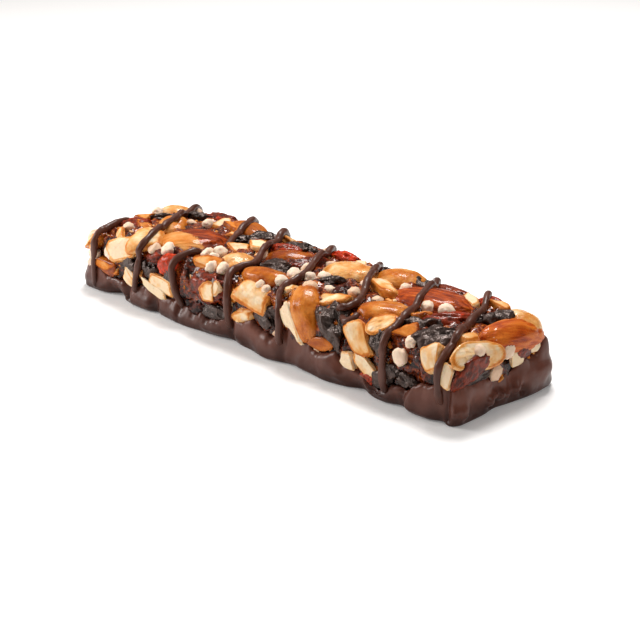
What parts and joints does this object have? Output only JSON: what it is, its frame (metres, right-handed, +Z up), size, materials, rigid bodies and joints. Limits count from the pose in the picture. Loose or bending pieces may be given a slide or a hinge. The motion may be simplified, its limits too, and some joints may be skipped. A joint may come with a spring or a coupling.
{
  "type": "nut and fruit bar",
  "caption": "Pressed bar of nuts, dried fruit and puffed rice, dipped in dark chocolate underneath, with thin chocolate strands across the top.",
  "frame": {"origin": "Centre of the bounding box's underside, on the surface that the bar lies on", "axes": "+X along the bar towards the end seen on the right, +Y across the bar to its back side, +Z up"},
  "size_m": [0.118, 0.0336, 0.0176],
  "materials": {
    "nuts_and_fruit": "Glossy syrup over toasted nuts, dark raisins and red dried berries",
    "dark_chocolate": "Smooth dark chocolate with a soft sheen"
  },
  "bodies": {
    "root": {"nut_cluster": "nuts_and_fruit", "chocolate_base": "dark_chocolate"}
  },
  "joints": []
}
